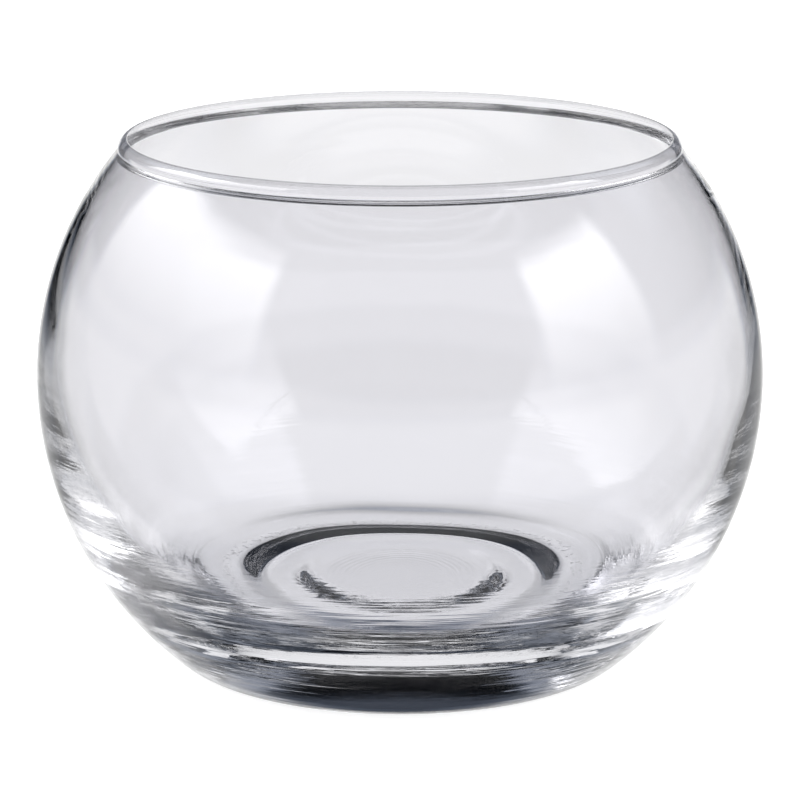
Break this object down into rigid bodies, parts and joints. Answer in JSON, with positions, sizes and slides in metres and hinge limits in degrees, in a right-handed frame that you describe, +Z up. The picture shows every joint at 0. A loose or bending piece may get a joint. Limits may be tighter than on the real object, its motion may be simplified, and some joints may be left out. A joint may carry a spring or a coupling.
{
  "type": "rose bowl vase",
  "caption": "Round clear glass rose bowl with a beaded mouth narrower than its belly, and a thick flat base.",
  "frame": {"origin": "middle of the face that the bowl stands on", "axes": "+Z up along the axis of the bowl, +X and +Y across it"},
  "size_m": [0.118, 0.118, 0.0872],
  "materials": {
    "clear_glass": "fire-polished clear soda-lime glass, faintly wavy, with a lightly worn bearing ring"
  },
  "bodies": {
    "root": {"glass_bowl": "clear_glass"}
  },
  "joints": []
}
